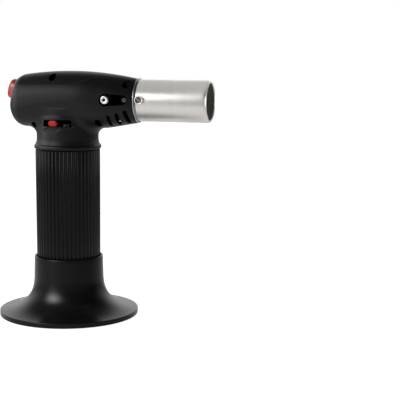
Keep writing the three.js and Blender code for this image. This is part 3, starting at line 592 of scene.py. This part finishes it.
def head_field(p, inset=0.0):
    x, y, z = p[:, 0], p[:, 1], p[:, 2]
    top = TOP_Z - (x - TOP_CREST_X) ** 2 / (2 * TOP_ARC_R)
    rise = (x - NOSE_RISE_X) / (HEAD_FRONT_X - NOSE_RISE_X)
    rise = (rise + np.sqrt(rise ** 2 + 0.004)) / 2
    floor = FLOOR_Z + (NOZZLE_Z - FRONT_R - FLOOR_Z) * rise
    behind = np.clip(TOP_CREST_X - x, 0, None) / 45
    ahead = np.clip((x - TOP_CREST_X) / (HEAD_FRONT_X - TOP_CREST_X), 0, None)
    half_width = HALF_WIDTH - 1.6 * behind ** 2 - (HALF_WIDTH - FRONT_R) * ahead ** 2.2 - inset
    middle = (top + floor) / 2
    half_height = (top - floor) / 2 - inset
    power = 2.35 - 0.35 * smoothstep(20, HEAD_FRONT_X, x)
    up = z - middle
    reach = ((np.abs(y) / half_width) ** power + (np.abs(up) / half_height) ** power) ** (1 / power)
    rear = np.clip(REAR_X + REAR_ROUND + inset - x, 0, None)
    reach = ((rear / REAR_ROUND) ** REAR_POWER + reach ** REAR_POWER) ** (1 / REAR_POWER)
    return np.sqrt(rear ** 2 + y ** 2 + up ** 2) * (1 - 1 / np.maximum(reach, 1e-6))


def neck_field(p):
    radius = np.hypot(p[:, 0], p[:, 1])
    z = p[:, 2]
    flank = NECK_R + 0.9 * smoothstep(139, 133.6, z)
    bead = 1.2 * np.sqrt(np.clip(1 - ((z - 132.8) / 1.8) ** 2, 0, None))
    return np.maximum(radius - flank - bead, z - 162)


def soft_max(a, b, radius):
    """Intersection with its edge rounded to a radius."""
    u, v = np.maximum(a + radius, 0), np.maximum(b + radius, 0)
    return np.minimum(-radius, np.maximum(a, b)) + np.hypot(u, v)


def soft_min(a, b, radius):
    """Union with a fillet of a radius."""
    u, v = np.maximum(radius - a, 0), np.maximum(radius - b, 0)
    return np.maximum(radius, np.minimum(a, b)) - np.hypot(u, v)


def trigger_face(p, inset=0.0):
    """Positive behind the sloping face, curved in plan, that carries the trigger."""
    c, s = math.cos(TRIGGER_TILT), math.sin(TRIGGER_TILT)
    along = (p[:, 0] - TRIGGER_START[0]) * c - (p[:, 2] - TRIGGER_START[1]) * s
    return np.hypot(np.minimum(along - TRIGGER_FACE_R, 0), p[:, 1]) - (TRIGGER_FACE_R - inset)


def side_relief(p):
    """How far the side panels stand proud, in a soft band between two creases."""
    x, y, z = p[:, 0], np.abs(p[:, 1]), p[:, 2]
    upper = 182.3 - 0.001 * np.minimum(x, 0) ** 2 + 5 * smoothstep(8, 33, x)
    lower = 166.3 - 0.0045 * (x - 6) ** 2
    along = smoothstep(-38, -26, x) * smoothstep(34, 14, x)
    band = smoothstep(0, 1.0, upper - z) * smoothstep(-0.6, 2.2, z - lower) * along
    return 0.75 * band * smoothstep(4, 9, y)


def slot_frame(p):
    """The raised frame round the flame lever's slot, on the near side only."""
    x, z = p[:, 0], p[:, 2]
    across = np.abs(x - 0.2) - 13.2
    lower_edge = 145.4 + 0.012 * (x + 4) ** 2
    frame_mask = smoothstep(0.7, -0.7, across) * smoothstep(-0.5, 0.5, z - lower_edge)
    recess = smoothstep(1.0, 0.7, np.hypot((x + 3.6) / 7.4, (z - 146.9) / 1.9))
    return (0.75 * frame_mask * smoothstep(158, 155.6, z) - 0.9 * recess) * (p[:, 1] < 0)


def outer_field(p):
    radius = np.maximum(np.hypot(p[:, 0], p[:, 1]), 1e-6)
    ahead = (p[:, 0] / radius) ** 2
    fillet = 2.0 + 5.6 * ahead ** 1.5
    field = soft_min(head_field(p), neck_field(p), fillet)
    field = field - side_relief(p) - slot_frame(p)
    field = soft_max(field, p[:, 0] - HEAD_FRONT_X, 0.5)
    field = soft_max(field, trigger_face(p), 0.9)
    return soft_max(field, HEAD_BOTTOM_Z - p[:, 2], 0.5)


def hollow_field(p):
    """The smooth space inside the shells, open at the neck and the front."""
    inside = soft_max(head_field(p, WALL), p[:, 0] - HEAD_FRONT_X - 2, 0.5)
    inside = soft_max(inside, trigger_face(p, WALL), 1.0)
    bore = np.hypot(p[:, 0], p[:, 1]) - NECK_BORE_R
    bore = np.maximum(bore, np.maximum(p[:, 2] - 160, 125 - p[:, 2]))
    return soft_min(inside, bore, 1.0)


def hollow_solid():
    """The hollow, less the screw posts, the bulkhead, the tank rib and the lock's guide."""
    hollow = new_object(
        "hollow", *surface_net(hollow_field, (-48, -27, 122), (62, 27, 192), 1.0))
    posts = [prism("post", circle(well + 1.5, 32), x, z, -40, 40) for x, z, well in SCREW_WELLS]
    boolean(hollow, merged("posts", posts), "DIFFERENCE")
    web = tube_outline(40, HUB_BORE_R, BULKHEAD_BACK, BULKHEAD_FRONT, 0)
    bulkhead = turned("bulkhead", web, 64, "x")
    lead_y = ELECTRODE_R * math.cos(ELECTRODE_ANGLE)
    lead_z = NOZZLE_Z + ELECTRODE_R * math.sin(ELECTRODE_ANGLE)
    lead = turned("lead_hole", [(0, 49), (1.8, 49), (1.8, 55), (0, 55)], 24, "x", lead_z, lead_y)
    boolean(bulkhead, lead, "DIFFERENCE")
    boolean(hollow, bulkhead, "DIFFERENCE")
    rib = turned("tank_rib", tube_outline(40, 19.3, 134.1, 135.9, 0), 96)
    boolean(hollow, rib, "DIFFERENCE")
    # The channel behind the lock's slot, with a rail along each side for the lock's plate.
    back, front = 25, BULKHEAD_BACK + 0.3
    guide = box_object("guide", back, front, -40, -8.9, 163.2, 176.8)
    channel = box_object("channel", back - 5, BULKHEAD_BACK, -41, -9.9, 164.4, 175.6)
    boolean(guide, channel, "DIFFERENCE")
    for z0, z1 in ((163.9, 165.1), (174.9, 176.1)):
        boolean(guide, box_object("rail", back, front, -13.7, -12.7, z0, z1), "UNION")
    boolean(hollow, guide, "DIFFERENCE")
    return hollow


def gradient(field, p, step=0.05):
    result = np.empty_like(p)
    for axis in range(3):
        shift = np.zeros(3)
        shift[axis] = step
        result[:, axis] = (field(p + shift) - field(p - shift)) / (2 * step)
    return result


def surface_net(field, low, high, step):
    """A closed mesh of quads where the field is zero, from a regular grid of samples."""
    axes = [np.arange(low[i], high[i] + step, step) for i in range(3)]
    value = np.empty([len(a) for a in axes])
    plane = np.stack(np.meshgrid(axes[1], axes[2], indexing="ij"), -1).reshape(-1, 2)
    for i, x in enumerate(axes[0]):
        samples = np.column_stack([np.full(len(plane), x), plane])
        value[i] = field(samples).reshape(value.shape[1:])
    shape = np.array(value.shape) - 1
    total = np.zeros((shape.prod(), 3))
    hits = np.zeros(shape.prod())
    quads = []
    for axis in range(3):
        first, second = (axis + 1) % 3, (axis + 2) % 3
        a = np.moveaxis(value, axis, 0)[:-1]
        b = np.moveaxis(value, axis, 0)[1:]
        index = np.argwhere((a < 0) != (b < 0))
        va, vb = a[tuple(index.T)], b[tuple(index.T)]
        others = [i for i in range(3) if i != axis]
        edge = np.empty_like(index)
        edge[:, axis] = index[:, 0]
        edge[:, others[0]] = index[:, 1]
        edge[:, others[1]] = index[:, 2]
        inner = np.all((edge[:, others] > 0) & (edge[:, others] < shape[others]), axis=1)
        edge, va, vb = edge[inner], va[inner], vb[inner]
        crossing = edge.astype(float)
        crossing[:, axis] += va / (va - vb)
        corners = []
        for du, dv in ((-1, -1), (0, -1), (0, 0), (-1, 0)):
            cell = edge.copy()
            cell[:, first] += du
            cell[:, second] += dv
            flat = np.ravel_multi_index(tuple(cell.T), shape)
            np.add.at(total, flat, crossing)
            np.add.at(hits, flat, 1)
            corners.append(flat)
        quad = np.stack(corners, 1)
        quad[va >= 0] = quad[va >= 0][:, ::-1]
        quads.append(quad)
    used = np.flatnonzero(hits)
    number = np.full(len(hits), -1)
    number[used] = np.arange(len(used))
    points = np.array(low) + total[used] / hits[used][:, None] * step
    for _ in range(3):
        slope = gradient(field, points)
        size = np.maximum((slope ** 2).sum(1), 0.05)
        move = -(field(points) / size)[:, None] * slope
        length = np.linalg.norm(move, axis=1, keepdims=True)
        points = points + move * np.minimum(1, 0.5 * step / np.maximum(length, 1e-9))
    return points, number[np.concatenate(quads)].tolist()


def trigger_outline(grow=0.0, scale=1.0, sides=64):
    """The trigger's rounded outline in its own plane, as (y, t) pairs."""
    result = []
    for angle in np.linspace(0, 2 * math.pi, sides, endpoint=False):
        c, s = math.cos(angle), math.sin(angle)
        result.append((
            (7.0 + grow) * scale * math.copysign(abs(c) ** (2 / 2.6), c),
            -1.5 + (7.8 + grow) * scale * math.copysign(abs(s) ** (2 / 2.6), s)))
    return result


def along_trigger(s, y, t):
    c, n = math.cos(TRIGGER_TILT), math.sin(TRIGGER_TILT)
    return (TRIGGER_START[0] + s * c + t * n, y, TRIGGER_START[1] - s * n + t * c)


def trigger_loft(name, sections):
    """A closed loft through (s, grow, scale) sections along the trigger's line of travel."""
    return loft(name, [[along_trigger(s, y, t) for y, t in trigger_outline(grow, scale)]
                       for s, grow, scale in sections])


def shell_cutters():
    cutters = [trigger_loft("cut_trigger", [(-12, 0.35, 1), (6, 0.35, 1)])]
    for x, z, radius in SCREW_WELLS:
        bore = [(0, 34), (radius, 34), (radius, -SCREW_SEAT_Y), (1.4, -SCREW_SEAT_Y), (1.4, -9.5),
                (0, -9.5)]
        cutters.append(turned_on_y("cut_well", bore, 40, x, z))
    for x, z, width, length, lean in VENTS:
        for y0, y1 in ((-27, -7), (7, 27)):
            cutters.append(prism("cut_vent", stadium(length, width), x, z, y0, y1,
                                 math.pi / 2 - math.radians(lean)))
    left, right, z, left_r, right_r = LOCK_SLOT
    outline = tapered_slot(right - left, left_r, right_r, 16)
    cutters.append(prism("cut_lock", outline, (left + right) / 2, z, -28, -11))
    left, right, bottom, top = FLAME_SLOT
    half_w, half_h, corner = (right - left) / 2, (top - bottom) / 2, 0.9
    outline = []
    for cx, cz, start in ((1, -1, -90), (1, 1, 0), (-1, 1, 90), (-1, -1, 180)):
        for angle in np.radians(np.linspace(start, start + 90, 5)):
            outline.append((cx * (half_w - corner) + corner * math.cos(angle),
                            cz * (half_h - corner) + corner * math.sin(angle)))
    cutters.append(prism("cut_flame", outline, (left + right) / 2, (bottom + top) / 2, -29, -13))
    return merged("shell_cutters", cutters)


def on_peg_end(p):
    """True for points on the end face of the peg in the lock's slot."""
    away = np.hypot(p[:, 0] - LOCK_PEG_X, p[:, 2] - LOCK_SLOT[2])
    return (np.abs(p[:, 1] - LOCK_PEG_Y) < 0.5) & (away < LOCK_PEG_R + 0.05)


def make_head(materials):
    low, high = (-50, -29, 129), (60, 29, 194)
    outer = new_object("head", *surface_net(outer_field, low, high, NET_STEP))
    boolean(outer, hollow_solid(), "DIFFERENCE")
    boolean(outer, shell_cutters(), "DIFFERENCE")
    peg = prism("peg", circle(LOCK_PEG_R, 32), LOCK_PEG_X, LOCK_SLOT[2], LOCK_PEG_Y, -9.4)
    boolean(outer, peg, "UNION")
    far = outer.copy()
    far.data = outer.data.copy()
    bpy.context.scene.collection.objects.link(far)
    boolean(outer, box_object("near_half", -60, 70, -40, -PARTING, 120, 200), "INTERSECT")
    boolean(far, box_object("far_half", -60, 70, PARTING, 40, 120, 200), "INTERSECT")
    outer.name, far.name = "head_skin_near", "head_skin_far"
    stand_in_for(outer, "head_shell_near", materials, 38)
    stand_in_for(far, "head_shell_far", materials, 38)
    # Painted shade: faces well below the outer surface take a near-black finish in place of the
    # shade inside.
    for shell in (outer, far):
        second_finish(shell, materials["painted_inner_shade"], lambda p: outer_field(p) < -SHADE_DEPTH)
    second_finish(outer, materials["tank_plastic"], on_peg_end)


# ---- Stand, handle and tank ----------------------------------------------------------------

def make_stand(materials):
    flare = bezier((53.5, 4.3), (34, 7.5), (27.9, 15), (27.2, 30), 40)
    underside = bezier((25.3, 21.2), (25.8, 13), (32.5, 5.3), (RIM_R - 3, 2.3), 24)
    outline = [
        (RIM_R - 3, 0.4, 0.3), (RIM_R, 0.4, 0.5), (RIM_R, 4.2, 0.8), *map(tuple, flare),
        (26.85, 42), (26.75, COLLAR_TOP_Z, 1.5), (COLLAR_BORE_R, COLLAR_TOP_Z, 0.5),
        (COLLAR_BORE_R, SEAT_Z), (19, SEAT_Z, 0.3), (19, 21.2, 0.3), *map(tuple, underside)]
    stand_in_for(turned("stand_skin", outline, 160, steps=6), "base_stand", materials)
    ring = [(46.8, 0, 0.3), (51, 0, 0.3), (51, 1.9, 0.2), (46.8, 1.9, 0.2)]
    stand_in_for(turned("foot_ring_skin", ring, 128), "foot_ring", materials)


def make_grip(materials):
    """The ribbed sleeve: rounded ridges with narrow grooves, tapering towards the stand."""
    ribs, per_rib = 48, 10
    depth, taper, chamfer = 0.75, 0.33, 0.5
    bore = TANK_R + 0.3
    levels = [
        (GRIP_BOTTOM_Z, bore), (GRIP_BOTTOM_Z, -chamfer), (GRIP_BOTTOM_Z + chamfer, 0),
        (GRIP_BOTTOM_Z + 40, 0), (GRIP_BOTTOM_Z + 80, 0),
        (GRIP_TOP_Z - chamfer, 0), (GRIP_TOP_Z, -chamfer), (GRIP_TOP_Z, bore)]
    sides = ribs * per_rib
    vertices, faces = [], []
    for z, shift in levels:
        share = (GRIP_TOP_Z - z) / (GRIP_TOP_Z - GRIP_BOTTOM_Z)
        for k in range(sides):
            angle = 2 * math.pi * k / sides
            wave = abs(math.cos(ribs * angle / 2)) ** 0.75
            radius = GRIP_R - taper * share - depth * (1 - wave)
            radius = shift if shift > 1 else radius + shift
            vertices.append((radius * math.cos(angle), radius * math.sin(angle), z))
    rows = len(levels)
    for i in range(rows):
        for k in range(sides):
            a, b = i * sides + k, i * sides + (k + 1) % sides
            c, d = ((i + 1) % rows) * sides + (k + 1) % sides, ((i + 1) % rows) * sides + k
            faces.append([a, b, c, d])
    stand_in_for(new_object("grip_skin", vertices, faces), "grip_sleeve", materials, 50)


def make_tank(materials):
    inner = TANK_R - 1.7
    outline = [
        (5.3, TANK_BOTTOM_Z, 0.3), (TANK_R, TANK_BOTTOM_Z, 1.0), (TANK_R, 129), (inner, 129),
        (inner, TANK_BOTTOM_Z + 3, 0.8), (5.3, TANK_BOTTOM_Z + 3)]
    stand_in_for(turned("tank_skin", outline), "tank_body", materials)
    body = [
        (1.9, 20.4, 0.4), (7, 20.4, 0.5), (7, SEAT_Z, 0.2), (5, SEAT_Z), (5, 39), (1, 39), (1, 37),
        (3, 37), (3, 27), (1.9, 27)]
    stand_in_for(turned("refill_valve_skin", body, 64), "refill_valve_body", materials)
    stem = [
        (0, 19.6), (1.6, 19.6, 0.4), (1.6, 27.3), (2.7, 27.3), (2.7, 28.8), (1.2, 28.8), (1.2, 31),
        (0, 31)]
    stand_in_for(turned("refill_stem_skin", stem, 40), "refill_stem", materials)


# ---- Nozzle and burner ---------------------------------------------------------------------

def make_nozzle(materials):
    inner = NOZZLE_R - 0.9
    tip = NOZZLE_TIP_X
    lip = [(NOZZLE_R - 1.6 + 1.6 * math.cos(a), tip - 2.9 + 2.9 * math.sin(a))
           for a in np.linspace(0, math.pi / 2, 10)]
    tube = [
        (inner, NOZZLE_START_X, 0.2), (NOZZLE_R, NOZZLE_START_X, 0.35),
        *lip, (NOZZLE_R - 2.1, tip - 0.7, 0.4), (NOZZLE_R - 1.9, tip - 1.4), (inner, tip - 3.4)]
    stand_in_for(turned("nozzle_skin", tube, 160, "x", steps=6), "nozzle_tube", materials, 40)
    ring = [
        (14.7, 57.8, 0.2), (17, 57.8, 0.5), (17, 58.9, 0.45), (15.5, 59.0, 0.2), (15.3, 59.5, 0.1),
        (14.7, 59.5, 0.1)]
    band = stand_in_for(turned("nozzle_ring_skin", ring, 160, "x"), "nozzle_ring", materials)
    band.data.materials[0] = materials["ring_steel"]
    hub_r = inner - 0.3
    hub = [
        (5.3, 46, 0.3), (7.8, 46, 0.3), (7.8, NOZZLE_START_X), (hub_r, NOZZLE_START_X, 0.3),
        (hub_r, 67, 0.4), (7.8, 67), (7.8, 68.7, 0.3), (5.3, 68.7, 0.3)]
    stand_in_for(turned("hub_skin", hub, 96, "x"), "nozzle_hub", materials)
    cup = [
        (5.3, 69, 0.2), (11, 69, 0.6), (11, 104, 0.35), (10.2, 104, 0.35), (10.2, 70.2, 0.3),
        (5.3, 70.2)]
    stand_in_for(turned("burner_skin", cup, 96, "x"), "burner_tube", materials)


def make_flame_holder(materials):
    disc = turned("flame_holder_skin", [(0, 78), (9.9, 78, 0.3), (9.9, 80, 0.3), (0, 80)], 96, "x")
    drills = []
    for k in range(8):
        angle = 2 * math.pi * k / 8
        y, z = 6.6 * math.cos(angle), NOZZLE_Z + 6.6 * math.sin(angle)
        drills.append(turned("drill", [(0, 77), (1.45, 77), (1.45, 81), (0, 81)], 32, "x", z, y))
    drills.append(turned("drill", [(0, 77), (1.95, 77), (1.95, 81), (0, 81)], 32, "x"))
    boolean(disc, merged("drills", drills), "DIFFERENCE")
    stand_in_for(disc, "flame_holder", materials)


def make_nozzle_screws(materials):
    """A bright rim round a bronze recess with a bar across it, on each side of the nozzle."""
    for node, side in (("nozzle_screw_near", -1), ("nozzle_screw_far", 1)):
        rim = [
            (0, 9.2), (1.4, 9.2, 0.2), (1.4, 16.2), (3.3, 16.25, 0.2), (3.3, 17.7, 0.5),
            (2.95, 18.2, 0.35), (2.4, 18.15, 0.25), (2.3, 16.9), (0, 16.9)]
        piece = turned_on_y(f"{node}_skin", rim, 64, NOZZLE_SCREW_X, NOZZLE_SCREW_Z, side)
        stand_in_for(piece, node, materials)
        piece.data.materials[0] = materials["satin_nickel"]
        second_finish(piece, materials["bronze"], lambda p: (np.abs(p[:, 1]) > 16.5) & (
            np.hypot(p[:, 0] - NOZZLE_SCREW_X, p[:, 2] - NOZZLE_SCREW_Z) < 2.38))
        bar = prism(f"{node}_bar", stadium(4.3, 1.0, 8), NOZZLE_SCREW_X, NOZZLE_SCREW_Z,
                    *sorted((side * 16.92, side * 17.6)), math.radians(40))
        stand_in_for(bar, node, materials)
        bar.data.materials[0] = materials["burner_steel"]


def make_electrode(materials):
    c, s = math.cos(ELECTRODE_ANGLE), math.sin(ELECTRODE_ANGLE)
    line = [(47.5, ELECTRODE_R), (102.0, ELECTRODE_R)]
    bend = bezier((102, ELECTRODE_R), (104.6, ELECTRODE_R), (106.4, 12.2), (107.4, 8.5), 14)
    line += [tuple(p) for p in bend[1:]]
    centre = [np.array((x, r * c, NOZZLE_Z + r * s)) for x, r in line]
    across = np.array((0, -s, c))
    rings = []
    for i, point in enumerate(centre):
        ahead = centre[min(i + 1, len(centre) - 1)] - centre[max(i - 1, 0)]
        ahead /= np.linalg.norm(ahead)
        normal = np.cross(ahead, across)
        radius = 0.35 if i == len(centre) - 1 else 0.6
        rings.append([tuple(point + radius * (math.cos(a) * across + math.sin(a) * normal))
                      for a in np.linspace(0, 2 * math.pi, 16, endpoint=False)])
    piece = loft("electrode_skin", rings)
    stand_in_for(piece, "electrode", materials)
    sleeve = turned("insulator_skin", tube_outline(1.5, 0.9, 50, 96.5, 0.3), 32, "x",
                    NOZZLE_Z + ELECTRODE_R * s, ELECTRODE_R * c)
    stand_in_for(sleeve, "electrode_insulator", materials)


# ---- Trigger, flame lever and lock ---------------------------------------------------------

def make_trigger(materials):
    """A domed thumb button with a stem and a retaining flange behind the shell's face."""
    sections = []
    for angle in np.linspace(0.08, math.pi / 2, 14):
        sections.append((-2.8 - 3.2 * math.cos(angle), 0, math.sin(angle) ** 0.7))
    sections += [(3.1, 0, 1), (3.2, 1.7, 1), (4.8, 1.7, 1)]
    piece = trigger_loft("trigger_skin", sections)
    stand_in_for(piece, "trigger_button", materials, 40)


def make_flame_lever(materials):
    ring = turned("flame_ring", tube_outline(8.4, 5.5, 150, 153.4, 0.4), 64)
    arm = box_object("flame_arm", -2.5, 2.5, -23, -7.6, 150.2, 153.2)
    # The tip's rows, each a y and a size, round over at the thumb's end.
    rows = [(-22.2, 0.92), (-22.6, 1.0), (-24.0, 1.0), (-24.6, 0.94), (-25.0, 0.82), (-25.2, 0.6)]
    rings = []
    for y, scale in rows:
        shrink = (1 - scale) * FLAME_TIP_HEIGHT / 2
        ring_points = []
        for u, v in stadium(FLAME_TIP_LENGTH, FLAME_TIP_HEIGHT, 14):
            keep = 1 - shrink / math.hypot(u, v)
            ring_points.append((u * keep, y, FLAME_LEVER_Z + v * keep))
        rings.append(ring_points)
    tip = loft("flame_tip", rings)
    boolean(arm, ring, "UNION")
    boolean(arm, tip, "UNION")
    turn = Matrix.Rotation(FLAME_LEVER_TURN, 4, "Z")
    pivot = Matrix.Translation(world_point(0, 0, 0))
    arm.data.transform(pivot @ turn @ pivot.inverted())
    arm.name = "flame_lever_skin"
    stand_in_for(arm, "flame_lever", materials)
    arm.data.materials[0] = materials["deep_red"]
    # Painted shade: the lever's ring and arm inside the head are painted near-black, so only the
    # tip shows red.
    second_finish(arm, materials["painted_inner_shade"], lambda p: np.hypot(p[:, 0], p[:, 1]) < 21.6)


def make_lock(materials):
    """The lock's bright eyelet, standing in its slot on the black slider."""
    outline = [
        (1.4, 15.5), (3.35, 15.5), (3.35, 20.6, 0.5), (2.6, 21.3, 0.6), (1.15, 21.1, 0.4),
        (1.15, 19.8), (1.4, 19.8)]
    piece = turned_on_y("lock_knob_skin", outline, 64, LOCK_KNOB_X, LOCK_SLOT[2], steps=6)
    stand_in_for(piece, "lock_knob", materials)
    piece.data.materials[0] = materials["satin_nickel"]


def make_springs(materials):
    """Copies of the CAD springs, each in its node's finish, standing in for the hidden CAD springs.
    """
    for node, stem in (("valve_spring", "valve_stem"), ("refill_spring", "refill_stem")):
        source = frame["nodes"][node]
        source = bpy.data.objects[source] if isinstance(source, str) else source
        mesh = source.data.copy()
        mesh.transform(source.matrix_world)
        piece = bpy.data.objects.new(f"{node}_skin", mesh)
        bpy.context.scene.collection.objects.link(piece)
        piece.data.materials.clear()
        piece.data.materials.append(materials[NODE_SLOT[node]])
        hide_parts(node)
        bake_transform(piece)


# ---- Build ---------------------------------------------------------------------------------

add_camera()
add_world()
add_area_light("key", (-379, -588, 470), (0, 0, 40), (0.36, 0.36), 2.6)
add_area_light("fill", (-400, -560, 170), (0, 0, 100), (0.25, 0.5), 0.6)
stand_key = add_area_light("stand_key", (-379, -588, 470), (0, 0, 40), (0.36, 0.36), 26)
grip_side = add_area_light("grip_side", (720, -250, 260), (0, 0, 95), (0.16, 0.6), 2)
nozzle_top = add_area_light("nozzle_top", (80, 40, 560), (85, 0, 169), (0.7, 0.9), 1.1)
nozzle_end = add_area_light("nozzle_end", (640, -260, 190), (110, 0, 169), (0.4, 0.4), 1.8)
left_wall = add_area_light("left_wall", (-640, -200, 330), (0, 0, 150), (0.3, 0.6), 3)
add_stage()
bpy.context.scene.view_settings.view_transform = "Standard"

finishes = make_materials()
paint_cad_nodes(finishes)
make_stand(finishes)
make_grip(finishes)
make_tank(finishes)
make_nozzle(finishes)
make_flame_holder(finishes)
make_nozzle_screws(finishes)
make_electrode(finishes)
make_trigger(finishes)
make_flame_lever(finishes)
make_lock(finishes)
make_springs(finishes)
make_head(finishes)

aim_only_at(stand_key, ["stand_skin", "foot_ring_skin"])
aim_only_at(grip_side, ["grip_skin"])
aim_only_at(left_wall, ["head_skin_near", "head_skin_far"])
for lamp in (nozzle_top, nozzle_end):
    aim_only_at(lamp, ["nozzle_skin", "nozzle_screw_near_skin", "nozzle_screw_near_bar"])
